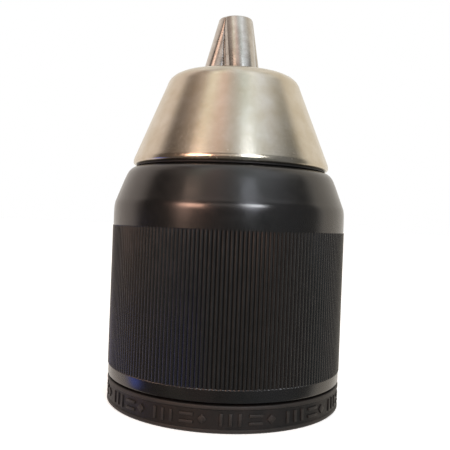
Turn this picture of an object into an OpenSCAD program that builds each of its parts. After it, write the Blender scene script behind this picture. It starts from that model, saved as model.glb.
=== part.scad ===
// Keyless drill chuck, 13 mm, single sleeve, for a 1/2-20 threaded spindle.
//
// The chuck stands on its rear face, with its axis on Z and its nose up.
// Turning the sleeve turns a split nut, whose conical thread runs in the teeth
// of three tilted jaws and slides them in their bores in the body.

/* [Sleeve] */
// Diameter over the knurl crests
sleeve_d = 43; // [42.8:0.1:43.4]
// Number of straight knurl ribs
knurl_ribs = 192; // [120:12:216]
// Depth of the knurl grooves
knurl_depth = 0.35; // [0.2:0.05:0.4]
// Wall thickness of the sleeve at the knurl
sleeve_wall = 1.7; // [1.6:0.05:1.75]

/* [Jaws] */
// Angle between each jaw and the chuck's axis
jaw_tilt = 15.5; // [15.4:0.1:15.6]
// Diameter of the jaw rod
jaw_d = 6; // [5.9:0.05:6.05]
// Smallest shank that the closed jaws grip
grip_d = 2; // [1.5:0.1:2.5]
// Direction of the first jaw, measured from +X
first_jaw = -70; // [-90:1:90]
// Spacing of the jaw teeth along the jaw, 18 or 16 to the inch
thread_pitch = 1.5875; // [1.4111, 1.5875]

/* [Body] */
// Bore that takes the tool's shank
tool_bore_d = 13.3; // [13.2:0.05:13.4]
// Diameter of the spindle thread
spindle_d = 12.7; // [12.7:0.1:12.9]
// Depth of the spindle thread
spindle_depth = 16.5; // [15:0.5:16.5]

/* [Thrust bearing] */
// Ball diameter
ball_d = 2.4; // [2.3:0.05:2.4]
// Number of balls
ball_count = 24; // [18:1:26]

/* [Hidden] */
$fn = 96;
overlap = 0.5;          // how far a cutting tool runs past what it cuts
sleeve_r = sleeve_d / 2;
jaw_r = jaw_d / 2;
tool_bore_r = tool_bore_d / 2;
spindle_r = spindle_d / 2;
ball_r = ball_d / 2;

// Heights of the main faces above the rear face
ring_top = 4.4;
tail_shoulder = 5.2;
sleeve_bottom = 4.7;
knurl_bottom = 6.75;
knurl_top = 31.75;
flange_bottom = 18;
flange_top = 28.3;
seat_top = 32.3;        // end of the land that centres the bearing
nut_top = 40.1;
neck_top = 40.35;       // end of the neck that the nut turns on
sleeve_top = 42.55;
nose_bottom = 42.85;
nose_top = 60;
body_top = 59.6;
web_top = 19;           // floor of the tool bore
guide_top = 34.2;       // end of the stretch that guides a shank
jaw_tip = 71.1;
jaw_apex = 71.4;        // height at which the three jaw axes would meet
jaw_rear = 33.2;        // rear end of a closed jaw, on its own axis

// Inside of the sleeve
shell_in = sleeve_r - sleeve_wall;
shell_step = 34.8;      // where the inside starts to taper with the shoulder
shell_roof = 41.2;
shell_roof_r = 17.6;
lip_r = 16.6;
insert_bottom = 28.5;
insert_step = 33.85;    // where the insert closes in above the nut's flange
insert_floor = 40.3;    // underside of the insert's front flange
fit = 0.02;             // clearance of a part pressed into another

// Radii of the body
tail_r = 13;
trunk_r = 14;
flange_r = shell_in - 0.2;
seat_r = 15.8;
neck_r = 10.3;
nose_seat_r = 13.5;
body_tip_r = 8.9;

// Thrust bearing
race_in = 15.9;
race_out = 18.9;
race_h = 0.9;
play = 0.03;            // running clearance between balls and races
ball_z = flange_top + race_h + play + ball_r;
front_race_z = ball_z + ball_r + play;
nut_bottom = front_race_z + race_h;
pitch_r = (race_in + race_out) / 2;

// Split nut
nut_r = 16.4;
nut_flange_r = 18.9;
nut_flange_top = 33.7;
band_r = 17.3;
band_bottom = 33.8;
band_top = 37.9;
dog_bottom = 38.2;
dog_w = 4;
dog_r = 14.8;
split_gap = 0.04;       // saw cut between the two halves

// Tooth form: n is measured outwards from the jaw's back, s along the jaw
tooth_depth = 0.75;
groove_root = 0.27;     // half width of a groove at its root
groove_mouth = 0.6;     // half width of a groove at the jaw's back
flank_play = 0.2;       // along the jaw, on each side of a nut ridge
crest_play = 0.12;
bore_play = 0.1;

bore_clear = 0.05;      // radial clearance of a jaw in its bore
jaw_gap = 0.06;         // slit between two closed jaws
tooth_start = 10.8;     // from the jaw apex to the first groove, along the jaw
jaw_end_chamfer = 1.2;

tilt_sin = sin(jaw_tilt);
tilt_cos = cos(jaw_tilt);
jaw_len_axis = (jaw_apex - jaw_rear) / tilt_cos;
nut_mid = (nut_bottom + nut_top) / 2;

jaw_numbers = [1, 2, 3];
ball_numbers = [for (i = [1:ball_count]) i];

function jaw_name(k) = str("jaw_", k);
function ball_name(i) = str("ball_", i < 10 ? "0" : "", i);
function jaw_direction(k) = first_jaw + 120 * (k - 1);

// Distance from the chuck's axis to a closed jaw's axis, and to its back, at height z
function jaw_axis_r(z) = (jaw_apex - z) * tan(jaw_tilt);
function jaw_back_r(z) = jaw_axis_r(z) + jaw_r / tilt_cos;

// A point beside the jaw's back at the middle of the nut, as [radius, height]
function tooth_point(s, n) = [
    jaw_back_r(nut_mid) + s * tilt_sin + n * tilt_cos,
    nut_mid - s * tilt_cos + n * tilt_sin
];
function groove_half(n) =
    groove_root + (n + tooth_depth) * (groove_mouth - groove_root) / tooth_depth;

// Where the thread stands, along the jaw, in direction az
function thread_shift(az) = -thread_pitch * az / 360;

module ring(r_out, r_in, z_low, z_high) {
    translate([0, 0, z_low]) difference() {
        cylinder(r = r_out, h = z_high - z_low);
        translate([0, 0, -overlap]) cylinder(r = r_in, h = z_high - z_low + 2 * overlap);
    }
}

// Places a shape drawn along +Z from the apex so that it lies along jaw k
module along_jaw(k) {
    rotate([0, 0, jaw_direction(k)]) translate([0, 0, jaw_apex]) rotate([0, 180 - jaw_tilt, 0]) children();
}

// A groove or ridge of trapezoid section round the chuck's axis, s along the jaw
module thread_ring(s, half_low, n_low, half_high, n_high) {
    rotate_extrude() polygon([
        tooth_point(s - half_low, n_low),
        tooth_point(s + half_low, n_low),
        tooth_point(s + half_high, n_high),
        tooth_point(s - half_high, n_high)
    ]);
}

// ---------------------------------------------------------------- body

module body_blank() {
    rotate_extrude() polygon([
        [0, 0], [tail_r - 0.4, 0], [tail_r, 0.4], [tail_r, tail_shoulder],
        [trunk_r, tail_shoulder], [trunk_r, flange_bottom - 1.6], [trunk_r + 1.6, flange_bottom],
        [flange_r - 0.4, flange_bottom], [flange_r, flange_bottom + 0.4],
        [flange_r, flange_top - 0.3], [flange_r - 0.3, flange_top], [seat_r, flange_top],
        [seat_r, seat_top - 0.2], [seat_r - 0.2, seat_top], [neck_r, seat_top],
        [neck_r, neck_top], [nose_seat_r, neck_top], [nose_seat_r, 50],
        [10.9, 57.4], [10.9, 58.2], [body_tip_r, 58.2],
        [body_tip_r, body_top - 0.4], [body_tip_r - 0.4, body_top], [0, body_top]
    ]);
}

// The rear of the bore guides the shank's end, and the front is a little wider
module tool_bore() {
    floor_chamfer = 0.8;
    relief = 0.3;
    relief_r = tool_bore_r + relief;
    mouth_r = tool_bore_r + 0.75;
    rotate_extrude() polygon([
        [0, web_top], [tool_bore_r - floor_chamfer, web_top], [tool_bore_r, web_top + floor_chamfer],
        [tool_bore_r, guide_top], [relief_r, guide_top + relief],
        [relief_r, body_top - (mouth_r - relief_r)], [mouth_r, body_top],
        [mouth_r, body_top + overlap], [0, body_top + overlap]
    ]);
}

module spindle_bore() {
    mouth = 0.6;
    rotate_extrude() polygon([
        [0, -overlap], [spindle_r + mouth, -overlap], [spindle_r + mouth, 0],
        [spindle_r, mouth], [spindle_r, spindle_depth], [0, spindle_depth]
    ]);
}

module chuck_body() {
    screw_hole_r = 3.4;
    color("lightsteelblue") difference() {
        body_blank();
        tool_bore();
        spindle_bore();
        translate([0, 0, spindle_depth - overlap]) cylinder(r = screw_hole_r, h = web_top - spindle_depth + 2 * overlap);
        for (k = jaw_numbers) along_jaw(k) translate([0, 0, 4]) cylinder(r = jaw_r + bore_clear, h = 64);
    }
}

module nosepiece() {
    color("lightgray") rotate_extrude() polygon([
        [nose_seat_r, nose_bottom], [17.45, nose_bottom], [17.98, 42.98], [18.18, 43.28],
        [18.13, 43.88], [18.06, 44.1], [12.55, 57.75], [12.3, 58.45], [11.9, 59.1],
        [11.3, 59.62], [10.6, 59.92], [10, nose_top], [body_tip_r + 0.3, nose_top],
        [body_tip_r + 0.1, nose_top - 0.2], [body_tip_r + 0.1, 58.3], [11, 58.3],
        [11, 57.4], [nose_seat_r, 50.15]
    ]);
}

module front_washer() {
    color("black") ring(17.6, nose_seat_r + 0.05, sleeve_top + 0.07, nose_bottom);
}

// Raised dashes and bars that decorate the ring's edge, all of one height
module ring_marks() {
    groups = 12;
    middle = ring_top / 2;
    intersection() {
        ring(sleeve_r - 0.04, sleeve_r - 0.6, 0.5, ring_top - 0.5);
        for (i = [0:groups - 1]) rotate([0, 0, 360 * i / groups]) {
            for (az = [0, 4, 8]) rotate([0, 0, az]) translate([sleeve_r, 0, middle]) cube([3, 0.55, 2], center = true);
            for (side = [-1, 1]) rotate([0, 0, 15]) translate([sleeve_r, 0, middle + side * 0.6]) cube([3, 2.4, 0.5], center = true);
            rotate([0, 0, 22]) translate([sleeve_r, 0, middle]) rotate([45, 0, 0]) cube([3, 1.1, 1.1], center = true);
        }
    }
}

module rear_ring() {
    rim = 0.6;
    sunk = sleeve_r - 0.3;
    color("dimgray") {
        rotate_extrude() polygon([
            [tail_r + fit, 0], [15.2, 0], [15.6, 0.4], [19.6, 0.4], [20, 0], [sleeve_r - 0.3, 0],
            [sleeve_r - 0.04, 0.26], [sleeve_r - 0.04, rim], [sunk, rim + 0.1],
            [sunk, ring_top - rim - 0.1], [sleeve_r - 0.04, ring_top - rim],
            [sleeve_r - 0.04, ring_top - 0.2], [sleeve_r - 0.25, ring_top], [19.2, ring_top],
            [19.2, 2], [14.8, 2], [14.8, tail_shoulder], [tail_r + fit, tail_shoulder]
        ]);
        ring_marks();
    }
}

module thrust_race_rear() {
    color("silver") ring(race_out, race_in, flange_top, flange_top + race_h);
}

// ---------------------------------------------------------------- sleeve

// Everything outside the knurl's V grooves, as a tool that cuts them
module knurl_cutter() {
    step = 360 / knurl_ribs;
    root = sleeve_r - knurl_depth;
    crest = sleeve_r + 0.12;
    end_land = 0.12;
    translate([0, 0, knurl_bottom + end_land]) linear_extrude(knurl_top - knurl_bottom - 2 * end_land)
        difference() {
            circle(r = sleeve_r + 2);
            polygon([for (i = [0:knurl_ribs - 1]) for (side = [0, 1])
                let (az = (i + side / 2) * step, r = side == 0 ? crest : root) [r * cos(az), r * sin(az)]]);
        }
}

module sleeve_jacket() {
    plain_r = sleeve_r - 0.12;
    color("black") difference() {
        rotate_extrude() polygon([
            [shell_in, sleeve_bottom], [plain_r - 0.3, sleeve_bottom], [plain_r, sleeve_bottom + 0.3],
            [plain_r, knurl_bottom], [sleeve_r, knurl_bottom], [sleeve_r, knurl_top],
            [plain_r, knurl_top], [plain_r, 35.2], [21.33, 35.64], [21.2, 36.1],
            [20.83, 37], [20.46, 38], [20.08, 39], [19.7, 40], [19.28, 41], [18.97, 41.55], [18.6, 41.98],
            [18.15, 42.3], [17.6, 42.5], [17.2, sleeve_top], [lip_r, sleeve_top],
            [lip_r, shell_roof], [shell_roof_r, shell_roof], [shell_in, shell_step]
        ]);
        knurl_cutter();
    }
}

module drive_dog() {
    translate([dog_r, -dog_w / 2, dog_bottom]) cube([17.6 - dog_r, dog_w, insert_floor + 0.3 - dog_bottom]);
}

module drive_insert() {
    color("darkslategray") {
        rotate_extrude() polygon([
            [race_out + 0.2, insert_bottom], [shell_in - fit, insert_bottom],
            [shell_in - fit, shell_step], [shell_roof_r - fit, shell_roof - fit],
            [lip_r - fit, shell_roof - fit], [lip_r - fit, sleeve_top - 0.15],
            [nose_seat_r + 0.2, sleeve_top - 0.15], [nose_seat_r + 0.2, insert_floor],
            [band_r + 0.1, insert_floor], [band_r + 0.1, insert_step],
            [race_out + 0.2, insert_step]
        ]);
        for (az = [45:90:315]) rotate([0, 0, az]) drive_dog();
    }
}

// ---------------------------------------------------------------- nut

// The nut's thread over half a turn. A ring that leans by a quarter pitch each
// way, and stands a little to one side, follows the conical thread closely there.
module nut_ridge(s) {
    rise = thread_pitch / 4;
    n_low = crest_play - tooth_depth;
    n_high = bore_play + 0.3;
    lean = asin(rise * tilt_cos / (jaw_back_r(nut_mid) + s * tilt_sin));
    height = nut_mid - s * tilt_cos;
    translate([rise * tilt_sin, 0, height]) rotate([0, lean, 0]) translate([0, 0, -height])
        thread_ring(s, groove_half(n_low) - flank_play, n_low, groove_half(n_high) - flank_play, n_high);
}

// Where the thread may stand: it runs out in a chamfer at both ends of the nut
module thread_room() {
    runout = 0.9;
    low_r = jaw_back_r(nut_bottom) + bore_play;
    high_r = jaw_back_r(nut_top) + bore_play;
    rotate_extrude() polygon([
        [nut_r - 1, nut_bottom], [low_r, nut_bottom], [low_r - runout, nut_bottom + runout],
        [high_r - runout, nut_top - runout], [high_r, nut_top], [nut_r - 1, nut_top]
    ]);
}

module nut_half(az) {
    far = 40;
    color("goldenrod") intersection() {
        union() {
            difference() {
                union() {
                    translate([0, 0, nut_bottom]) cylinder(r = nut_r, h = nut_top - nut_bottom);
                    translate([0, 0, nut_bottom]) cylinder(r = nut_flange_r, h = nut_flange_top - nut_bottom);
                }
                nut_cone_bore();
                for (slot = [45:90:315]) rotate([0, 0, slot])
                    translate([dog_r - 0.2, -dog_w / 2 - 0.1, dog_bottom - 0.1])
                        cube([10, dog_w + 0.2, 10]);
            }
            intersection() {
                thread_room();
                rotate([0, 0, az]) for (turn = [-3:3]) nut_ridge(thread_shift(az + 90) + turn * thread_pitch);
            }
        }
        rotate([0, 0, az]) translate([-far, split_gap / 2, 0]) cube([2 * far, far, far + 20]);
    }
}

module nut_cone_bore() {
    low = nut_bottom - overlap;
    high = nut_top + overlap;
    grow = bore_play / tilt_cos;
    translate([0, 0, low])
        cylinder(r1 = jaw_back_r(low) + grow, r2 = jaw_back_r(high) + grow, h = high - low);
}

module nut_band() {
    color("gray") ring(band_r, nut_r + fit, band_bottom, band_top);
}

module thrust_race_front() {
    color("silver") ring(race_out, race_in, front_race_z, nut_bottom);
}

// ---------------------------------------------------------------- bearing

module at_ball(i) {
    rotate([0, 0, 360 * (i - 1) / ball_count]) translate([pitch_r, 0, ball_z]) children();
}

module ball_cage() {
    cage_h = 1.2;
    pocket_play = 0.06;
    color("peru") difference() {
        ring(race_out + 0.05, race_in + 0.05, ball_z - cage_h / 2, ball_z + cage_h / 2);
        for (i = ball_numbers) at_ball(i) cylinder(r = ball_r + pocket_play, h = 2 * cage_h, center = true);
    }
}

module ball(i) {
    color("whitesmoke") at_ball(i) sphere(r = ball_r);
}

// ---------------------------------------------------------------- jaws

// The third of the plan that one jaw may fill
module jaw_sector() {
    far = 60;
    corner = jaw_gap / 2 / sin(60);
    linear_extrude(80) polygon([
        [corner, 0], [corner + far / 2, far * sin(60)], [far, far * sin(60)],
        [far, -far * sin(60)], [corner + far / 2, -far * sin(60)]
    ]);
}

// Flat front end with a narrow bevel round it
module jaw_front() {
    face_r = 2.9;
    side = 30;
    rotate_extrude() polygon([
        [0, jaw_tip - 2 * side], [side, jaw_tip - 2 * side], [side, jaw_tip - side + face_r],
        [face_r, jaw_tip], [0, jaw_tip]
    ]);
}

module jaw_rod() {
    front = 3;
    cylinder_len = jaw_len_axis - jaw_end_chamfer;
    translate([0, 0, -front]) cylinder(r = jaw_r, h = cylinder_len + front);
    translate([0, 0, cylinder_len])
        cylinder(r1 = jaw_r, r2 = jaw_r - jaw_end_chamfer * 0.8, h = jaw_end_chamfer);
}

// One groove between two teeth, at s along the jaw from the middle of the nut.
// It leans with the thread's helix.
module tooth_groove(s) {
    n_out = 0.3;
    helix = atan(thread_pitch / (2 * PI * jaw_back_r(nut_mid)));
    translate([s * tilt_sin, 0, nut_mid - s * tilt_cos]) rotate([helix, 0, 0]) translate([0, 0, -nut_mid])
        thread_ring(0, groove_root, -tooth_depth, groove_half(n_out), n_out);
}

module jaw(k) {
    az = jaw_direction(k);
    // jaw coordinate of the tooth_point origin, measured from the apex
    origin = jaw_back_r(nut_mid) * tilt_sin + (jaw_apex - nut_mid) * tilt_cos;
    phase = thread_shift(az);
    first = ceil((tooth_start - origin - phase) / thread_pitch);
    last = floor((jaw_len_axis - origin - phase) / thread_pitch);
    color("silver") rotate([0, 0, az]) difference() {
        intersection() {
            translate([0, 0, jaw_apex]) rotate([0, 180 - jaw_tilt, 0]) jaw_rod();
            jaw_sector();
            jaw_front();
        }
        translate([0, 0, 40]) cylinder(r = grip_d / 2, h = 40);
        for (tooth = [first:last]) tooth_groove(phase + tooth * thread_pitch);
    }
}

// ---------------------------------------------------------------- nodes

chuck_body();
nosepiece();
front_washer();
rear_ring();
sleeve_jacket();
drive_insert();
nut_half(0);  // nut_half_a
nut_half(180);  // nut_half_b
nut_band();
thrust_race_rear();
thrust_race_front();
ball_cage();
for (k = jaw_numbers) jaw(k);
for (i = ball_numbers) ball(i);
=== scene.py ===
import math

import bmesh
import bpy
from mathutils import Matrix, Vector


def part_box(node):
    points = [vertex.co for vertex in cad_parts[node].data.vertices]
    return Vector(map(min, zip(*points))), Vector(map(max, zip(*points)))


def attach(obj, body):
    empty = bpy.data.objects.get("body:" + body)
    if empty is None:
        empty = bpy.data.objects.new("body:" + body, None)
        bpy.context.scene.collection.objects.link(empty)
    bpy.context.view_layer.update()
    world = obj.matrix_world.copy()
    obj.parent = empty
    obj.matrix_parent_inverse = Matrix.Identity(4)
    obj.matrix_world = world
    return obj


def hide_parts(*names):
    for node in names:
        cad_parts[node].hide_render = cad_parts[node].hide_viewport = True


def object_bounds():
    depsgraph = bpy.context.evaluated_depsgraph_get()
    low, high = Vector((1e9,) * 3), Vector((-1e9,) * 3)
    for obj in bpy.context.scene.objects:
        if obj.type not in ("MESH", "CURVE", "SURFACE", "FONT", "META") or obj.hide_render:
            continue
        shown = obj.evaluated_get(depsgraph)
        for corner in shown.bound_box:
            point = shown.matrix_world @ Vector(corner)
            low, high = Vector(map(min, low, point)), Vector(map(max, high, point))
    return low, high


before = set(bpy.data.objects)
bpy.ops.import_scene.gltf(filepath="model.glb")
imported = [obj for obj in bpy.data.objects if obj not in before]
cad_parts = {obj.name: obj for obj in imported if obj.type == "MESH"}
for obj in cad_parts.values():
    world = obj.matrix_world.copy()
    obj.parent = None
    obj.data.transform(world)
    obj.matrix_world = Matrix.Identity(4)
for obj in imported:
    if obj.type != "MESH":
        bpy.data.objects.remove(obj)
cad_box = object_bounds()
scene = bpy.context.scene
MM = 0.001
FULL_TURN = 2 * math.pi

# ------------------------------------------------------------------ camera

CAMERA_DISTANCE = 117.5 * MM    # in front of the chuck's axis, towards -Y
CAMERA_HEIGHT = 32.8 * MM
CAMERA_LENS = 49.67             # on a sensor 36 mm wide
CAMERA_HEADING = 0.32           # degrees to the left of the axis
CAMERA_DROP = 0.2               # degrees below level
CAMERA_ROLL = 2.22              # degrees, so that the chuck leans a little to the right


def make_camera():
    """A camera in front of the chuck, a little below its middle."""
    data = bpy.data.cameras.new("camera")
    data.lens = CAMERA_LENS
    data.sensor_width = 36
    data.clip_start = MM
    data.clip_end = 20
    camera = bpy.data.objects.new("camera", data)
    camera.matrix_world = (
        Matrix.Translation((0, -CAMERA_DISTANCE, CAMERA_HEIGHT))
        @ Matrix.Rotation(math.radians(CAMERA_HEADING), 4, "Z")
        @ Matrix.Rotation(math.radians(90 - CAMERA_DROP), 4, "X")
        @ Matrix.Rotation(math.radians(CAMERA_ROLL), 4, "Z")
    )
    scene.collection.objects.link(camera)
    scene.camera = camera


# ---------------------------------------------------------- colour and nodes


def colour(hex_code):
    """An sRGB hex colour as linear red, green, blue and alpha."""
    parts = [int(hex_code[i:i + 2], 16) / 255 for i in (1, 3, 5)]
    return tuple(c / 12.92 if c <= 0.04045 else ((c + 0.055) / 1.055) ** 2.4 for c in parts) + (1,)


def add(tree, kind, inputs=None, **settings):
    """Adds a node. An input is a number, a colour, a vector or another node's socket."""
    made = tree.nodes.new(kind)
    for name, value in settings.items():
        setattr(made, name, value)
    for name, value in (inputs or {}).items():
        if isinstance(value, bpy.types.NodeSocket):
            tree.links.new(value, made.inputs[name])
        else:
            made.inputs[name].default_value = value
    return made


def start_material(name):
    """A new material, its node tree and its shader."""
    material = bpy.data.materials.new(name)
    material.use_nodes = True
    tree = material.node_tree
    shader = tree.nodes["Principled BSDF"]
    return material, tree, shader


# ------------------------------------------------------------------ lighting

# What the studio's walls give off at 45 degrees up, by the azimuth in turns from the camera's
# side, positive to the right: (azimuth, colour, strength).
WALLS = (
    (-0.5, "#fffaf2", 0.86), (-0.31, "#ffeee2", 0.82), (-0.24, "#ffe6d8", 0.42), (-0.18, "#ffe8d8", 0.58),
    (-0.125, "#fff6e2", 1.1), (-0.06, "#ffe0d4", 0.98), (0.0, "#fff6f0", 0.68), (0.06, "#eefaf8", 0.82),
    (0.12, "#f6fbff", 1.12), (0.17, "#f8faff", 1.04), (0.23, "#fbf9f4", 0.84), (0.31, "#fff4e4", 0.78),
    (0.5, "#fffaf2", 0.86),
)
CLOTH_WAY = (-0.963, 0.06, -0.262)      # towards a blue cloth, low on the left
CLOTH_BLUE = (0.35, 0.48, 1.6, 1)       # linear, because it gives off light


def make_world():
    """A pale studio: bright behind the chuck, and walls of many brightnesses beside the camera."""
    world = bpy.data.worlds.new("studio")
    world.use_nodes = True
    scene.world = world
    tree = world.node_tree
    background = tree.nodes["Background"]
    way = add(tree, "ShaderNodeTexCoord").outputs["Generated"]
    parts = add(tree, "ShaderNodeSeparateXYZ", {"Vector": way})
    towards = add(tree, "ShaderNodeMath", {
        0: parts.outputs["Y"], 1: -1,
    }, operation="MULTIPLY").outputs["Value"]
    azimuth = add(tree, "ShaderNodeMath", {
        0: parts.outputs["X"], 1: towards,
    }, operation="ARCTAN2").outputs["Value"]
    turns = add(tree, "ShaderNodeMapRange", {
        "Value": azimuth, "From Min": -math.pi, "From Max": math.pi,
    }).outputs["Result"]
    walls = add(tree, "ShaderNodeValToRGB", {"Fac": turns})
    ramp = walls.color_ramp
    ramp.interpolation = "EASE"
    while len(ramp.elements) < len(WALLS):
        ramp.elements.new(0.5)
    for stop, (place, hex_code, strength) in zip(ramp.elements, WALLS):
        stop.position = place + 0.5
        stop.color = [c * strength for c in colour(hex_code)[:3]] + [1]
    # Low down, the camera's side of the room is dark and the far side is white.
    back = add(tree, "ShaderNodeMapRange", {
        "Value": parts.outputs["Y"], "From Min": 0.0, "From Max": 0.25,
    }, interpolation_type="SMOOTHSTEP").outputs["Result"]
    share = add(tree, "ShaderNodeMapRange", {
        "Value": back, "To Min": 0.16, "To Max": 1.1,
    }).outputs["Result"]
    low = add(tree, "ShaderNodeVectorMath", {
        0: walls.outputs["Color"], "Scale": share,
    }, operation="SCALE").outputs["Vector"]
    # Above the horizon the walls take over, and the ceiling is dimmer than they are.
    rise = add(tree, "ShaderNodeMapRange", {
        "Value": parts.outputs["Z"], "From Min": 0.54, "From Max": 0.77,
    }, interpolation_type="SMOOTHSTEP").outputs["Result"]
    ceiling = add(tree, "ShaderNodeMapRange", {
        "Value": parts.outputs["Z"], "From Min": 0.8, "From Max": 0.95, "To Min": 1, "To Max": 0.54,
    }, interpolation_type="SMOOTHSTEP").outputs["Result"]
    high = add(tree, "ShaderNodeVectorMath", {
        0: walls.outputs["Color"], "Scale": ceiling,
    }, operation="SCALE").outputs["Vector"]
    room = add(tree, "ShaderNodeMix", {
        "Factor": rise, "A": low, "B": high,
    }, data_type="RGBA").outputs["Result"]
    # The cloth is small and round, with a soft edge.
    along = add(tree, "ShaderNodeVectorMath", {
        0: way, 1: CLOTH_WAY,
    }, operation="DOT_PRODUCT").outputs["Value"]
    cloth = add(tree, "ShaderNodeMapRange", {
        "Value": along, "From Min": 0.984, "From Max": 0.996,
    }, interpolation_type="SMOOTHSTEP").outputs["Result"]
    furnished = add(tree, "ShaderNodeMix", {
        "Factor": cloth, "A": room, "B": CLOTH_BLUE,
    }, data_type="RGBA").outputs["Result"]
    # The background itself is plain white.
    seen = add(tree, "ShaderNodeLightPath").outputs["Is Camera Ray"]
    shown = add(tree, "ShaderNodeMix", {
        "Factor": seen, "A": furnished, "B": colour("#ffffff"),
    }, data_type="RGBA").outputs["Result"]
    tree.links.new(shown, background.inputs["Color"])


# Each soft light: its name, azimuth from the camera's side in degrees, positive to the right,
# elevation in degrees, then distance, width, height in metres, radiance and colour.
SOFT_LIGHTS = (
    ("overhead_light", 0, 88, 0.9, 0.9, 0.9, 0.4, "#ffffff"),
    ("warm_left_light", -43, 20, 1.0, 0.26, 0.8, 1.6, "#ffd0b9"),
    ("warm_left_lamp", -36, 15, 0.95, 0.38, 0.15, 14, "#ffc8ae"),
    ("front_light", -6, 20, 1.0, 0.42, 0.2, 0.6, "#fff2ea"),
    ("jaw_light", -25, 12, 0.9, 1.2, 0.45, 0.4, "#fff0e6"),
    ("cool_right_light", 22, 26, 1.0, 0.22, 0.75, 2, "#eef2ff"),
    ("cool_right_lamp", 24, 21, 0.95, 0.3, 0.16, 15, "#f6f8fc"),
)
AIM_HEIGHT = 35 * MM            # about the middle of the chuck


def softbox(name, azimuth, elevation, distance, width, height, radiance, hex_code):
    """A soft rectangular light aimed at the chuck."""
    aim = Vector((0, 0, AIM_HEIGHT))
    az = math.radians(azimuth)
    el = math.radians(elevation)
    way = Vector((math.sin(az) * math.cos(el), -math.cos(az) * math.cos(el), math.sin(el)))
    data = bpy.data.lights.new(name, "AREA")
    data.shape = "RECTANGLE"
    data.size = width
    data.size_y = height
    data.energy = radiance * math.pi * width * height
    data.color = colour(hex_code)[:3]
    light = bpy.data.objects.new(name, data)
    light.location = aim + distance * way
    light.rotation_euler = way.to_track_quat("Z", "Y").to_euler()
    scene.collection.objects.link(light)


def choose_lit(name, pieces, state):
    """Lets a light fall on these pieces alone, for INCLUDE, or on all but these, for EXCLUDE."""
    chosen = bpy.data.collections.new(name + "_choice")
    for piece in pieces:
        chosen.objects.link(piece)
    for entry in chosen.collection_objects:
        entry.light_linking.link_state = state
    bpy.data.objects[name].light_linking.receiver_collection = chosen


FLOOR_HALF = 4                  # metres
FLOOR_GAP = 0.02 * MM           # below the chuck's rear face, so that the two never coincide


def make_floor():
    """A plain pale floor that the chuck stands on. It isn't mirrored in the chuck."""
    bm = bmesh.new()
    bmesh.ops.create_grid(bm, x_segments=1, y_segments=1, size=FLOOR_HALF)
    bmesh.ops.translate(bm, verts=bm.verts, vec=(0, 0, cad_box[0][2] - FLOOR_GAP))
    mesh = bpy.data.meshes.new("floor")
    bm.to_mesh(mesh)
    bm.free()
    material, _, shader = start_material("matt white paper")
    shader.inputs["Base Color"].default_value = colour("#f3f3f1")
    shader.inputs["Roughness"].default_value = 0.9
    # A light under the sheet takes away most of the shadow.
    shader.inputs["Emission Color"].default_value = colour("#ffffff")
    shader.inputs["Emission Strength"].default_value = 0.6
    mesh.materials.append(material)
    floor = bpy.data.objects.new("floor", mesh)
    floor.visible_glossy = False
    floor.visible_shadow = False
    scene.collection.objects.link(floor)


# ----------------------------------------------------------------- materials

# The period of a wave texture of scale 1, in metres.
WAVE_PERIOD = math.pi / 10


def satin_nickel():
    """Nickel plate over turned steel: a warm silver with soft highlights and faint rings."""
    material, tree, shader = start_material("satin nickel plate on turned steel")
    place = add(tree, "ShaderNodeTexCoord").outputs["Object"]
    # The tool marks run round the cone, so the pattern is drawn out sideways.
    drawn = add(tree, "ShaderNodeMapping", {"Vector": place, "Scale": (0.04, 0.04, 1)}).outputs["Vector"]
    rings = add(tree, "ShaderNodeTexNoise", {
        "Vector": drawn, "Scale": 1 / (0.25 * MM), "Detail": 4, "Roughness": 0.6,
    }).outputs["Fac"]
    # Blasting before plating leaves a grain of about 0.2 mm.
    grain = add(tree, "ShaderNodeTexNoise", {
        "Vector": place, "Scale": 1 / (0.22 * MM), "Detail": 3, "Roughness": 0.65,
    }).outputs["Fac"]
    clouds = add(tree, "ShaderNodeTexNoise", {
        "Vector": place, "Scale": 1 / (3 * MM), "Detail": 4,
    }).outputs["Fac"]
    tone = add(tree, "ShaderNodeValToRGB", {"Fac": clouds})
    tone.color_ramp.elements[0].position = 0.3
    tone.color_ramp.elements[0].color = colour("#cdc4b1")
    tone.color_ramp.elements[1].position = 0.7
    tone.color_ramp.elements[1].color = colour("#d9d3c6")
    tree.links.new(tone.outputs["Color"], shader.inputs["Base Color"])
    roughness = add(tree, "ShaderNodeMapRange", {
        "Value": grain, "From Min": 0.3, "From Max": 0.7, "To Min": 0.17, "To Max": 0.28,
    }).outputs["Result"]
    tree.links.new(roughness, shader.inputs["Roughness"])
    shader.inputs["Metallic"].default_value = 1
    ring_bump = add(tree, "ShaderNodeBump", {
        "Strength": 0.35, "Distance": 0.01 * MM, "Height": rings,
    }).outputs["Normal"]
    bump = add(tree, "ShaderNodeBump", {
        "Strength": 0.35, "Distance": 0.012 * MM, "Height": grain, "Normal": ring_bump,
    }).outputs["Normal"]
    tree.links.new(bump, shader.inputs["Normal"])
    return material


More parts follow.
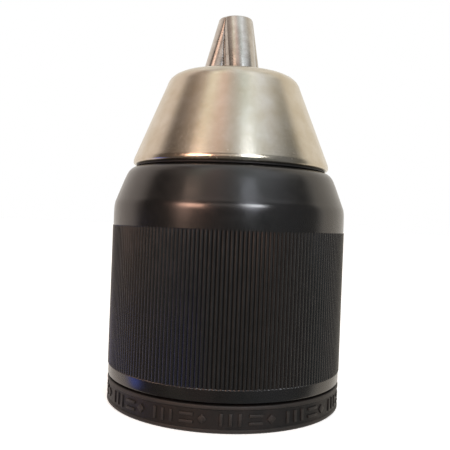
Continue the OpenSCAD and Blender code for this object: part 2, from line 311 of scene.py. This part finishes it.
def ground_steel():
    """Hardened tool steel, ground round: bright and a little colder, with fine rings."""
    material, tree, shader = start_material("ground tool steel")
    place = add(tree, "ShaderNodeTexCoord").outputs["Object"]
    drawn = add(tree, "ShaderNodeMapping", {"Vector": place, "Scale": (0.05, 0.05, 1)}).outputs["Vector"]
    rings = add(tree, "ShaderNodeTexNoise", {
        "Vector": drawn, "Scale": 1 / (0.16 * MM), "Detail": 3, "Roughness": 0.6,
    }).outputs["Fac"]
    stains = add(tree, "ShaderNodeTexNoise", {
        "Vector": place, "Scale": 1 / (1.6 * MM), "Detail": 4, "Roughness": 0.6,
    }).outputs["Fac"]
    tone = add(tree, "ShaderNodeValToRGB", {"Fac": stains})
    tone.color_ramp.elements[0].position = 0.35
    tone.color_ramp.elements[0].color = colour("#bdb8b1")
    tone.color_ramp.elements[1].position = 0.65
    tone.color_ramp.elements[1].color = colour("#d0cec9")
    tree.links.new(tone.outputs["Color"], shader.inputs["Base Color"])
    shader.inputs["Metallic"].default_value = 1
    roughness = add(tree, "ShaderNodeMapRange", {
        "Value": rings, "From Min": 0.3, "From Max": 0.7, "To Min": 0.17, "To Max": 0.29,
    }).outputs["Result"]
    tree.links.new(roughness, shader.inputs["Roughness"])
    bump = add(tree, "ShaderNodeBump", {
        "Strength": 0.4, "Distance": 0.006 * MM, "Height": rings,
    }).outputs["Normal"]
    tree.links.new(bump, shader.inputs["Normal"])
    return material


def from_axis(tree, place):
    """The distance of a point from the chuck's axis."""
    flat = add(tree, "ShaderNodeVectorMath", {
        0: place, 1: (1, 1, 0),
    }, operation="MULTIPLY").outputs["Vector"]
    return add(tree, "ShaderNodeVectorMath", {0: flat}, operation="LENGTH").outputs["Value"]


def black_enamel(crest_r):
    """Baked black enamel on steel: near black and glossy, a little greyer on the ribs' crests, partly as
    rubbed wear and partly as a painted highlight.
    """
    material, tree, shader = start_material("baked black enamel on steel")
    place = add(tree, "ShaderNodeTexCoord").outputs["Object"]
    peel = add(tree, "ShaderNodeTexNoise", {
        "Vector": place, "Scale": 1 / (0.5 * MM), "Detail": 3,
    }).outputs["Fac"]
    dust = add(tree, "ShaderNodeTexNoise", {
        "Vector": place, "Scale": 1 / (2.5 * MM), "Detail": 5, "Roughness": 0.65,
    }).outputs["Fac"]
    # Painted highlight and wear: the crests are lightened towards the outermost radius. This is partly
    # rubbed wear and partly stands in for the light lines the ribs catch.
    crest_wear_and_highlight = add(tree, "ShaderNodeMapRange", {
        "Value": from_axis(tree, place), "From Min": crest_r - 0.1 * MM, "From Max": crest_r,
    }).outputs["Result"]
    wear = add(tree, "ShaderNodeMath", {0: crest_wear_and_highlight, 1: dust}, operation="MULTIPLY").outputs["Value"]
    tone = add(tree, "ShaderNodeMix", {
        "Factor": wear, "A": colour("#101010"), "B": colour("#1d1d1d"),
    }, data_type="RGBA").outputs["Result"]
    tree.links.new(tone, shader.inputs["Base Color"])
    roughness = add(tree, "ShaderNodeMapRange", {
        "Value": dust, "From Min": 0.3, "From Max": 0.7, "To Min": 0.17, "To Max": 0.27,
    }).outputs["Result"]
    tree.links.new(roughness, shader.inputs["Roughness"])
    shader.inputs["IOR"].default_value = 1.7
    bump = add(tree, "ShaderNodeBump", {
        "Strength": 0.12, "Distance": 0.01 * MM, "Height": peel,
    }).outputs["Normal"]
    tree.links.new(bump, shader.inputs["Normal"])
    return material


def black_oxide(raised_r):
    """Pressed steel with a rough black oxide, worn brown-grey on what stands proud."""
    material, tree, shader = start_material("rough black oxide on pressed steel")
    place = add(tree, "ShaderNodeTexCoord").outputs["Object"]
    pits = add(tree, "ShaderNodeTexNoise", {
        "Vector": place, "Scale": 1 / (0.3 * MM), "Detail": 4, "Roughness": 0.7,
    }).outputs["Fac"]
    patches = add(tree, "ShaderNodeTexNoise", {
        "Vector": place, "Scale": 1 / (4 * MM), "Detail": 4, "Roughness": 0.6,
    }).outputs["Fac"]
    proud = add(tree, "ShaderNodeMapRange", {
        "Value": from_axis(tree, place), "From Min": raised_r - 0.15 * MM, "From Max": raised_r,
    }).outputs["Result"]
    wear = add(tree, "ShaderNodeMath", {0: proud, 1: pits}, operation="MULTIPLY").outputs["Value"]
    tone = add(tree, "ShaderNodeValToRGB", {"Fac": patches})
    tone.color_ramp.elements[0].position = 0.42
    tone.color_ramp.elements[0].color = colour("#121110")
    tone.color_ramp.elements[1].position = 0.7
    tone.color_ramp.elements[1].color = colour("#1f1815")
    worn = add(tree, "ShaderNodeMix", {
        "Factor": wear, "A": tone.outputs["Color"], "B": colour("#3a3531"),
    }, data_type="RGBA").outputs["Result"]
    tree.links.new(worn, shader.inputs["Base Color"])
    roughness = add(tree, "ShaderNodeMapRange", {
        "Value": pits, "From Min": 0.3, "From Max": 0.7, "To Min": 0.45, "To Max": 0.68,
    }).outputs["Result"]
    tree.links.new(roughness, shader.inputs["Roughness"])
    bump = add(tree, "ShaderNodeBump", {
        "Strength": 0.6, "Distance": 0.05 * MM, "Height": pits,
    }).outputs["Normal"]
    tree.links.new(bump, shader.inputs["Normal"])
    return material


def turned_steel():
    """Plain turned steel, lightly oiled: grey, with the tool's rings about 0.15 mm apart."""
    material, tree, shader = start_material("oiled turned steel")
    place = add(tree, "ShaderNodeTexCoord").outputs["Object"]
    rings = add(tree, "ShaderNodeTexWave", {
        "Vector": place, "Scale": WAVE_PERIOD / (0.15 * MM), "Distortion": 0.6, "Detail": 2,
    }, wave_type="RINGS", rings_direction="Z").outputs["Fac"]
    film = add(tree, "ShaderNodeTexNoise", {
        "Vector": place, "Scale": 1 / (3 * MM), "Detail": 5, "Roughness": 0.6,
    }).outputs["Fac"]
    tone = add(tree, "ShaderNodeValToRGB", {"Fac": film})
    tone.color_ramp.elements[0].position = 0.3
    tone.color_ramp.elements[0].color = colour("#8d8a86")
    tone.color_ramp.elements[1].position = 0.7
    tone.color_ramp.elements[1].color = colour("#aaa8a4")
    tree.links.new(tone.outputs["Color"], shader.inputs["Base Color"])
    shader.inputs["Metallic"].default_value = 1
    roughness = add(tree, "ShaderNodeMapRange", {
        "Value": film, "From Min": 0.3, "From Max": 0.7, "To Min": 0.26, "To Max": 0.4,
    }).outputs["Result"]
    tree.links.new(roughness, shader.inputs["Roughness"])
    bump = add(tree, "ShaderNodeBump", {
        "Strength": 0.3, "Distance": 0.008 * MM, "Height": rings,
    }).outputs["Normal"]
    tree.links.new(bump, shader.inputs["Normal"])
    return material


def phosphated_steel():
    """Steel with a dark grey phosphate coat, which holds the nut's grease: fine and dull."""
    material, tree, shader = start_material("phosphated steel")
    place = add(tree, "ShaderNodeTexCoord").outputs["Object"]
    # The real crystals are a hundredth of a millimetre. These are as coarse as they need to show.
    crystals = add(tree, "ShaderNodeTexVoronoi", {
        "Vector": place, "Scale": 1 / (0.15 * MM),
    }).outputs["Distance"]
    grease = add(tree, "ShaderNodeTexNoise", {
        "Vector": place, "Scale": 1 / (2 * MM), "Detail": 3,
    }).outputs["Fac"]
    tone = add(tree, "ShaderNodeValToRGB", {"Fac": grease})
    tone.color_ramp.elements[0].position = 0.35
    tone.color_ramp.elements[0].color = colour("#4a4843")
    tone.color_ramp.elements[1].position = 0.65
    tone.color_ramp.elements[1].color = colour("#66635c")
    tree.links.new(tone.outputs["Color"], shader.inputs["Base Color"])
    shader.inputs["Metallic"].default_value = 0.7
    shader.inputs["Roughness"].default_value = 0.5
    bump = add(tree, "ShaderNodeBump", {
        "Strength": 0.4, "Distance": 0.01 * MM, "Height": crystals,
    }).outputs["Normal"]
    tree.links.new(bump, shader.inputs["Normal"])
    return material


def bearing_steel():
    """Lapped bearing steel: a bright mirror, a little dulled where the oil film is thick."""
    material, tree, shader = start_material("lapped bearing steel")
    place = add(tree, "ShaderNodeTexCoord").outputs["Object"]
    film = add(tree, "ShaderNodeTexNoise", {
        "Vector": place, "Scale": 1 / (0.8 * MM), "Detail": 4,
    }).outputs["Fac"]
    tone = add(tree, "ShaderNodeMix", {
        "Factor": film, "A": colour("#c4c5c6"), "B": colour("#d2d1cd"),
    }, data_type="RGBA").outputs["Result"]
    tree.links.new(tone, shader.inputs["Base Color"])
    shader.inputs["Metallic"].default_value = 1
    roughness = add(tree, "ShaderNodeMapRange", {
        "Value": film, "From Min": 0.3, "From Max": 0.7, "To Min": 0.05, "To Max": 0.14,
    }).outputs["Result"]
    tree.links.new(roughness, shader.inputs["Roughness"])
    return material


def pressed_brass():
    """Pressed cage brass: yellow, satin, a little tarnished."""
    material, tree, shader = start_material("pressed brass")
    place = add(tree, "ShaderNodeTexCoord").outputs["Object"]
    tarnish = add(tree, "ShaderNodeTexNoise", {
        "Vector": place, "Scale": 1 / (1.5 * MM), "Detail": 5, "Roughness": 0.6,
    }).outputs["Fac"]
    tone = add(tree, "ShaderNodeMix", {
        "Factor": tarnish, "A": colour("#c49a4f"), "B": colour("#a27f45"),
    }, data_type="RGBA").outputs["Result"]
    tree.links.new(tone, shader.inputs["Base Color"])
    shader.inputs["Metallic"].default_value = 1
    roughness = add(tree, "ShaderNodeMapRange", {
        "Value": tarnish, "From Min": 0.3, "From Max": 0.7, "To Min": 0.25, "To Max": 0.4,
    }).outputs["Result"]
    tree.links.new(roughness, shader.inputs["Roughness"])
    return material


def black_nylon():
    """Moulded glass-filled nylon: matt black with a fine mottled skin."""
    material, tree, shader = start_material("moulded black nylon")
    place = add(tree, "ShaderNodeTexCoord").outputs["Object"]
    skin = add(tree, "ShaderNodeTexNoise", {
        "Vector": place, "Scale": 1 / (0.2 * MM), "Detail": 3, "Roughness": 0.6,
    }).outputs["Fac"]
    tone = add(tree, "ShaderNodeMix", {
        "Factor": skin, "A": colour("#101010"), "B": colour("#1d1d1c"),
    }, data_type="RGBA").outputs["Result"]
    tree.links.new(tone, shader.inputs["Base Color"])
    shader.inputs["Roughness"].default_value = 0.55
    bump = add(tree, "ShaderNodeBump", {
        "Strength": 0.4, "Distance": 0.015 * MM, "Height": skin,
    }).outputs["Normal"]
    tree.links.new(bump, shader.inputs["Normal"])
    return material


# -------------------------------------------------------------------- shapes

TURN_STEPS = 192                # facets round the nose and the rear ring
TOUCH = 0.001 * MM              # lengths closer than this are taken as the same


def turn(outline, steps):
    """Spins a closed outline of (radius, height) in millimetres once round the chuck's axis."""
    bm = bmesh.new()
    ring = [bm.verts.new((r * MM, 0, z * MM)) for r, z in outline]
    edges = [bm.edges.new((a, b)) for a, b in zip(ring, ring[1:] + ring[:1])]
    bmesh.ops.spin(bm, geom=ring + edges, cent=(0, 0, 0), axis=(0, 0, 1),
                   angle=FULL_TURN, steps=steps, use_merge=True)
    bmesh.ops.recalc_face_normals(bm, faces=bm.faces[:])
    return bm


def near(value, target):
    """Whether two lengths in metres are taken as the same."""
    return abs(value - target) < TOUCH


def ease_rings(bm, corners, segments=3):
    """Rounds the round edges at the given (radius, height, size) in millimetres."""
    for r, z, size in corners:
        def on_ring(v):
            return near(v.co.z, z * MM) and near(math.hypot(v.co.x, v.co.y), r * MM)
        edges = [e for e in bm.edges if on_ring(e.verts[0]) and on_ring(e.verts[1])]
        bmesh.ops.bevel(bm, geom=edges, offset=size * MM, offset_type="OFFSET", affect="EDGES",
                        segments=segments, profile=0.5, material=-1)


def sharp_edges(bm, degrees):
    """The edges where two faces turn by more than an angle."""
    limit = math.radians(degrees)
    return [e for e in bm.edges if e.is_manifold and e.calc_face_angle() > limit]


def make_piece(bm, name, material, smooth_below=35):
    """Makes a bmesh an object, smooth where its faces meet at less than an angle in degrees."""
    mesh = bpy.data.meshes.new(name)
    bm.to_mesh(mesh)
    bm.free()
    mesh.materials.append(material)
    mesh.shade_smooth()
    mesh.set_sharp_from_angle(angle=math.radians(smooth_below))
    piece = bpy.data.objects.new(name, mesh)
    scene.collection.objects.link(piece)
    return piece


def settle(piece, body, slot, *replaced):
    """Parents a piece to its CAD body's empty and hides the CAD nodes that it stands for."""
    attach(piece, body)
    if replaced:
        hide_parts(*replaced)


# -------------------------------------------------------------------- sleeve

sleeve_low, sleeve_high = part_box("sleeve_jacket")
SLEEVE_R = sleeve_high[0] / MM
SLEEVE_BOTTOM = sleeve_low[2] / MM
SLEEVE_TOP = sleeve_high[2] / MM
PLAIN_R = SLEEVE_R - 0.12           # the plain bands lie a little below the ribs
SHELL_R = SLEEVE_R - 1.7            # the shell's inside, behind the knurl
SHELL_TOP = 34.8                    # height where its inside starts to close in
MOUTH_R = 16.6                      # the opening round the nose
MOUTH_FLOOR = 41.2
KNURL_RIBS = 192
KNURL_BOTTOM = 6.75
KNURL_TOP = 31.75
KNURL_DEPTH = 0.24
RIB_STEP = 0.03                     # a rib's end: a ledge, then a steep run into the groove
RIB_RAMP = 0.08
RIB_HOLD = RIB_RAMP + 0.1           # a ring here keeps the shading of the ribs straight
# How deep each of the four strips of a rib lies, as a share of the depth.
RIB_SHAPE = (0, 0.22, 1, 0.22)


def make_sleeve(material):
    """The sleeve's shell: a straight knurl between plain bands, under a domed shoulder."""
    outline = [
        (SHELL_R, SLEEVE_BOTTOM), (PLAIN_R, SLEEVE_BOTTOM), (PLAIN_R, KNURL_BOTTOM - 0.1),
        (PLAIN_R, KNURL_BOTTOM),
        (SLEEVE_R, KNURL_BOTTOM + RIB_STEP), (SLEEVE_R, KNURL_BOTTOM + RIB_RAMP),
        (SLEEVE_R, KNURL_BOTTOM + RIB_HOLD), (SLEEVE_R, KNURL_TOP - RIB_HOLD),
        (SLEEVE_R, KNURL_TOP - RIB_RAMP), (SLEEVE_R, KNURL_TOP - RIB_STEP), (PLAIN_R, KNURL_TOP),
        (PLAIN_R, KNURL_TOP + 0.1), (PLAIN_R + 0.015, 32.5), (PLAIN_R + 0.02, 33.4), (PLAIN_R + 0.015, 34),
        (PLAIN_R, 34.65), (PLAIN_R - 0.02, 35.05), (21.332, 35.35), (21.306, 35.55), (21.27, 35.75),
        (21.222, 35.95), (21.165, 36.13), (21.1, 36.31), (21.02, 36.5), (20.83, 37), (20.46, 38),
        (20.08, 39), (19.7, 40), (19.28, 41), (18.97, 41.55), (18.6, 41.98), (18.15, 42.3),
        (17.6, 42.49), (17.2, SLEEVE_TOP), (MOUTH_R, SLEEVE_TOP), (MOUTH_R, MOUTH_FLOOR),
        (MOUTH_R + 1, MOUTH_FLOOR), (SHELL_R, SHELL_TOP),
    ]
    columns = len(RIB_SHAPE)
    bm = turn(outline, KNURL_RIBS * columns)
    step = FULL_TURN / (KNURL_RIBS * columns)
    # The rings at a rib's ends are told apart by height, with a tenth of slack for rounding.
    for v in bm.verts:
        height = v.co.z / MM
        radius = math.hypot(v.co.x, v.co.y) / MM
        inward = min(height - KNURL_BOTTOM, KNURL_TOP - height)
        if radius < SHELL_R + 1 or inward <= 0.9 * RIB_STEP:
            continue
        deep = KNURL_DEPTH if inward > 0.9 * RIB_RAMP else SLEEVE_R - PLAIN_R
        column = round(math.atan2(v.co.y, v.co.x) / step) % columns
        shrink = 1 - deep * RIB_SHAPE[column] / radius
        v.co.x *= shrink
        v.co.y *= shrink
    ease_rings(bm, [
        (SHELL_R, SLEEVE_BOTTOM, 0.2), (PLAIN_R, SLEEVE_BOTTOM, 0.3), (MOUTH_R, SLEEVE_TOP, 0.2),
    ])
    piece = make_piece(bm, "sleeve_shell", material, smooth_below=50)
    settle(piece, "sleeve", "black_sleeve", "sleeve_jacket")


# ---------------------------------------------------------------------- nose

nose_low, nose_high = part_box("nosepiece")
NOSE_BOTTOM = nose_low[2] / MM
NOSE_TOP = nose_high[2] / MM
NOSE_R = nose_high[0] / MM
NOSE_LIP_R = 9.0                    # the hole that the jaws come out of
NOSE_LIP_FLOOR = 58.3
NOSE_SEAT_R = 13.52                 # the bore that is pressed on the body


def make_nose(material):
    """The nose: a cone with a polished band round its foot and a rolled edge at its top."""
    outline = [
        (NOSE_SEAT_R, NOSE_BOTTOM), (17.45, NOSE_BOTTOM), (17.75, 42.88), (17.98, 42.98),
        (18.12, 43.12), (NOSE_R, 43.28), (18.165, 43.6), (18.13, 43.88), (18.06, 44.1), (12.5, 57.9),
        (12.3, 58.45), (11.95, 59.02), (11.4, 59.52), (10.75, 59.86), (10, NOSE_TOP),
        (NOSE_LIP_R, NOSE_TOP), (NOSE_LIP_R, NOSE_LIP_FLOOR), (11, NOSE_LIP_FLOOR), (11, 57.4),
        (NOSE_SEAT_R, 50.15),
    ]
    bm = turn(outline, TURN_STEPS)
    ease_rings(bm, [(NOSE_LIP_R, NOSE_TOP, 0.2)])
    piece = make_piece(bm, "nose_cone", material)
    settle(piece, "body", "satin_nickel", "nosepiece")


# ----------------------------------------------------------------- rear ring

ring_low, ring_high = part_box("rear_ring")
RING_R = ring_high[0] / MM
RING_TOP = 4.4
RING_HUB_TOP = ring_high[2] / MM
RING_HOLE_R = 13.02
RING_HUB_R = 14.8
RING_WALL_R = 19.2                  # the inside of the rim
RING_WEB = 2                        # thickness of the web between hub and rim
RING_SUNK_R = RING_R - 0.26
RING_RIM = 0.6                      # height of the plain band on each side of the marks
MARK_GROUPS = 12


def add_mark(bm, azimuth, rise, width, height, turned=0):
    """One raised mark with eased edges on the ring's rim, its sizes in millimetres."""
    made = bmesh.ops.create_cube(bm, size=1)["verts"]
    faces = {f for v in made for f in v.link_faces}
    place = (
        Matrix.Rotation(math.radians(azimuth), 4, "Z")
        @ Matrix.Translation((RING_SUNK_R * MM, 0, (RING_TOP / 2 + rise) * MM))
        @ Matrix.Rotation(math.radians(turned), 4, "X")
        @ Matrix.Diagonal((0.4 * MM, width * MM, height * MM, 1))
    )
    bmesh.ops.transform(bm, matrix=place, verts=made)
    edges = {e for f in faces for e in f.edges}
    bmesh.ops.bevel(bm, geom=list(edges), offset=0.08 * MM, offset_type="OFFSET", affect="EDGES",
                    segments=2, profile=0.5, material=-1)


def make_rear_ring(material):
    """The ring behind the sleeve: a sunk band with raised bars, dashes and diamonds in it."""
    rim_r = RING_R - 0.04
    # The rear face is hollowed a little between its hub and its rim.
    outline = [
        (RING_HOLE_R, 0), (15.2, 0), (15.6, 0.4), (19.6, 0.4), (20, 0), (rim_r - 0.26, 0), (rim_r, 0.26),
        (rim_r, RING_RIM), (RING_SUNK_R, RING_RIM + 0.15), (RING_SUNK_R, RING_TOP - RING_RIM - 0.15),
        (rim_r, RING_TOP - RING_RIM), (rim_r, RING_TOP), (RING_WALL_R, RING_TOP), (RING_WALL_R, RING_WEB),
        (RING_HUB_R, RING_WEB), (RING_HUB_R, RING_HUB_TOP), (RING_HOLE_R, RING_HUB_TOP),
    ]
    bm = turn(outline, TURN_STEPS)
    ease_rings(bm, [
        (rim_r, RING_TOP, 0.2), (RING_WALL_R, RING_TOP, 0.15), (20, 0, 0.1), (15.2, 0, 0.1),
        (rim_r, RING_RIM, 0.06), (rim_r, RING_TOP - RING_RIM, 0.06),
    ])
    # Each group is three bars, two dashes one over the other, and a diamond.
    for group in range(MARK_GROUPS):
        start = 360 * group / MARK_GROUPS
        for bar in range(3):
            add_mark(bm, start + 4 * bar, 0, 0.55, 2)
        for side in (-1, 1):
            add_mark(bm, start + 15, side * 0.6, 2.3, 0.5)
        add_mark(bm, start + 22, 0, 1.1, 1.1, turned=45)
    piece = make_piece(bm, "ring_with_relief", material)
    settle(piece, "body", "black_oxide", "rear_ring")


# ---------------------------------------------------------------------- jaws

JAW_TILT = math.radians(15.5)
JAW_R = 3.0
JAW_APEX = 71.4                     # height at which the three jaw axes would meet
JAW_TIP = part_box("jaw_1")[1][2] / MM
JAW_LENGTH = 39.64                  # from the apex to the rear end, along the jaw
JAW_FRONT = 3                       # how far the rod is made past the apex, to be cut level
JAW_GAP = 0.06                      # between two closed jaws
HALF_SHARE = math.radians(60)       # half of a jaw's share of the plan
FIRST_JAW = -70                     # degrees from +X
GRIP_R = 1.0
PITCH = 1.5875                      # of the teeth, along the jaw
NUT_MIDDLE = 36.33
TOOTH_DEPTH = 0.75
TOOTH_START = 10.8                  # from the apex to the middle of the first gap, at the least
TOOTH_FLOOR = 0.27                  # half of the width of a gap's floor
TOOTH_OUT = 0.3                     # how far the cutting ring stands out of the jaw's back
TOOTH_MOUTH = 0.732                 # half of the ring's width there


def back_radius(height):
    """How far a closed jaw's back is from the chuck's axis at a height."""
    return (JAW_APEX - height) * math.tan(JAW_TILT) + JAW_R / math.cos(JAW_TILT)


def beside_back(along, out):
    """A point beside the jaw's back, from the height of the nut's middle, as (radius, height)."""
    return (back_radius(NUT_MIDDLE) + along * math.sin(JAW_TILT) + out * math.cos(JAW_TILT),
            out * math.sin(JAW_TILT) - along * math.cos(JAW_TILT))


def tooth_rings(phase):
    """The leaning rings that cut the teeth of a jaw that faces +X."""
    section = [
        beside_back(-TOOTH_FLOOR, -TOOTH_DEPTH), beside_back(TOOTH_FLOOR, -TOOTH_DEPTH),
        beside_back(TOOTH_MOUTH, TOOTH_OUT), beside_back(-TOOTH_MOUTH, TOOTH_OUT),
    ]
    start = back_radius(NUT_MIDDLE) * math.sin(JAW_TILT) + (JAW_APEX - NUT_MIDDLE) * math.cos(JAW_TILT)
    first = math.ceil((TOOTH_START - start - phase) / PITCH)
    last = math.floor((JAW_LENGTH - start - phase) / PITCH)
    helix = math.atan(PITCH / (FULL_TURN * back_radius(NUT_MIDDLE)))
    ring = turn(section, 144)
    mesh = bpy.data.meshes.new("tooth_ring")
    ring.to_mesh(mesh)
    ring.free()
    bm = bmesh.new()
    for tooth in range(first, last + 1):
        along = (phase + tooth * PITCH) * MM
        bm.from_mesh(mesh)
        bm.verts.ensure_lookup_table()
        place = Vector((along * math.sin(JAW_TILT), 0, NUT_MIDDLE * MM - along * math.cos(JAW_TILT)))
        bmesh.ops.transform(bm, matrix=Matrix.Translation(place) @ Matrix.Rotation(helix, 4, "X"),
                            verts=bm.verts[-len(mesh.vertices):])
    bpy.data.meshes.remove(mesh)
    return bm


def cut_off(bm, point, normal):
    """Cuts off what lies on the normal's side of a plane, and closes the cut."""
    whole = bm.verts[:] + bm.edges[:] + bm.faces[:]
    cut = bmesh.ops.bisect_plane(bm, geom=whole, plane_co=point, plane_no=normal, clear_outer=True)
    edges = [e for e in cut["geom_cut"] if isinstance(e, bmesh.types.BMEdge)]
    bmesh.ops.edgeloop_fill(bm, edges=edges)


def jaw_blank():
    """A tilted rod that faces +X, cut to its third of the plan and level at its tip."""
    bm = bmesh.new()
    bmesh.ops.create_cone(bm, cap_ends=True, segments=96, radius1=JAW_R * MM, radius2=JAW_R * MM,
                          depth=(JAW_LENGTH + JAW_FRONT) * MM)
    rear = [e for e in bm.edges if e.verts[0].co.z > 0 and e.verts[1].co.z > 0]
    bmesh.ops.bevel(bm, geom=rear, offset=1 * MM, offset_type="OFFSET", affect="EDGES",
                    segments=1, profile=0.5, material=-1)
    place = (
        Matrix.Translation((0, 0, JAW_APEX * MM))
        @ Matrix.Rotation(math.pi - JAW_TILT, 4, "Y")
        @ Matrix.Translation((0, 0, (JAW_LENGTH - JAW_FRONT) / 2 * MM))
    )
    bmesh.ops.transform(bm, matrix=place, verts=bm.verts[:])
    corner = (JAW_GAP / 2 / math.sin(HALF_SHARE) * MM, 0, 0)
    for side in (-1, 1):
        cut_off(bm, corner, (-math.sin(HALF_SHARE), side * math.cos(HALF_SHARE), 0))
    cut_off(bm, (0, 0, JAW_TIP * MM), (0, 0, 1))
    bmesh.ops.recalc_face_normals(bm, faces=bm.faces[:])

    def on_tip(v):
        return near(v.co.z, JAW_TIP * MM) and math.hypot(v.co.x, v.co.y) > 2 * MM

    tip = [e for e in bm.edges if on_tip(e.verts[0]) and on_tip(e.verts[1])]
    bmesh.ops.bevel(bm, geom=tip, offset=0.3 * MM, offset_type="OFFSET", affect="EDGES",
                    segments=2, profile=0.5, material=-1)
    bmesh.ops.bevel(bm, geom=sharp_edges(bm, 40), offset=0.13 * MM, offset_type="OFFSET", affect="EDGES",
                    segments=2, profile=0.5, material=-1)
    return bm


def carve(bm, tool):
    """Cuts one mesh out of another and returns what is left."""
    made = []
    for shape in (bm, tool):
        mesh = bpy.data.meshes.new("carved")
        shape.to_mesh(mesh)
        shape.free()
        made.append(bpy.data.objects.new("carved", mesh))
        scene.collection.objects.link(made[-1])
    cut = made[0].modifiers.new("cut", "BOOLEAN")
    cut.operation = "DIFFERENCE"
    cut.solver = "EXACT"
    cut.object = made[1]
    left = bmesh.new()
    left.from_object(made[0], bpy.context.evaluated_depsgraph_get())
    for helper in made:
        bpy.data.objects.remove(helper)
    return left


def grip_land():
    """The round hole that the three closed jaws leave between them."""
    bm = bmesh.new()
    bmesh.ops.create_cone(bm, cap_ends=True, segments=48, radius1=GRIP_R * MM, radius2=GRIP_R * MM,
                          depth=40 * MM)
    bmesh.ops.translate(bm, verts=bm.verts, vec=(0, 0, 60 * MM))
    return bm


def make_jaws(material):
    """The three jaws, closed. Each one's teeth start at its own place on the nut's helix."""
    jaws = []
    for k in range(3):
        azimuth = FIRST_JAW + 120 * k
        bm = carve(carve(jaw_blank(), grip_land()), tooth_rings(-PITCH * azimuth / 360))
        bmesh.ops.rotate(bm, verts=bm.verts, cent=(0, 0, 0),
                         matrix=Matrix.Rotation(math.radians(azimuth), 3, "Z"))
        name = "jaw_%d" % (k + 1)
        piece = make_piece(bm, name + "_toothed", material)
        settle(piece, name, "jaw_steel", name)
        jaws.append(piece)
    return jaws


# ------------------------------------------------------------ spindle thread

BORE_R = 6.35
THREAD_PITCH = 1.27                 # 20 to the inch
THREAD_TURNS = 12
THREAD_DEPTH = 0.62
THREAD_STEPS = 64                   # to a turn
THREAD_START = 1                    # height of the ridge's lower end


def make_spindle_thread(material):
    """The thread inside the rear bore, as one ridge that climbs its wall."""
    bm = bmesh.new()
    section = [
        (BORE_R + 0.01, -0.58), (BORE_R - THREAD_DEPTH, -0.1), (BORE_R - THREAD_DEPTH, 0.1),
        (BORE_R + 0.01, 0.58),
    ]
    corners = [bm.verts.new((r * MM, 0, (z + THREAD_START) * MM)) for r, z in section]
    face = bm.faces.new(corners)
    bmesh.ops.spin(bm, geom=[face], cent=(0, 0, 0), axis=(0, 0, 1),
                   dvec=(0, 0, THREAD_PITCH * MM / THREAD_STEPS), angle=THREAD_TURNS * FULL_TURN,
                   steps=THREAD_TURNS * THREAD_STEPS, use_merge=False)
    bmesh.ops.recalc_face_normals(bm, faces=bm.faces[:])
    piece = make_piece(bm, "spindle_thread", material)
    settle(piece, "body", "machined_steel")


# ------------------------------------------------------------------ assembly

def finish_inside(steel, nut_steel, lapped, brass, nylon):
    """Gives each CAD node its finish by its name. The pieces above stand for the other nodes."""
    finishes = {
        "chuck_body": steel, "nut_band": steel, "nut_half_a": nut_steel, "nut_half_b": nut_steel,
        "thrust_race_rear": lapped, "thrust_race_front": lapped, "ball_cage": brass,
        "drive_insert": nylon, "front_washer": nylon,
    }
    for name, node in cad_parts.items():
        node.data.materials.clear()
        node.data.materials.append(finishes.get(name, lapped))


scene.view_settings.view_transform = "Standard"
make_camera()
make_world()
for soft_light in SOFT_LIGHTS:
    softbox(*soft_light)
make_floor()
turned = turned_steel()
finish_inside(turned, phosphated_steel(), bearing_steel(), pressed_brass(), black_nylon())
make_sleeve(black_enamel(SLEEVE_R * MM))
make_nose(satin_nickel())
make_rear_ring(black_oxide(RING_R * MM))
jaws = make_jaws(ground_steel())
# The two hard lamps would lie as stripes on the jaws, which have a broad light of their own.
choose_lit("warm_left_lamp", jaws, "EXCLUDE")
choose_lit("cool_right_lamp", jaws, "EXCLUDE")
choose_lit("jaw_light", jaws, "INCLUDE")
make_spindle_thread(turned)
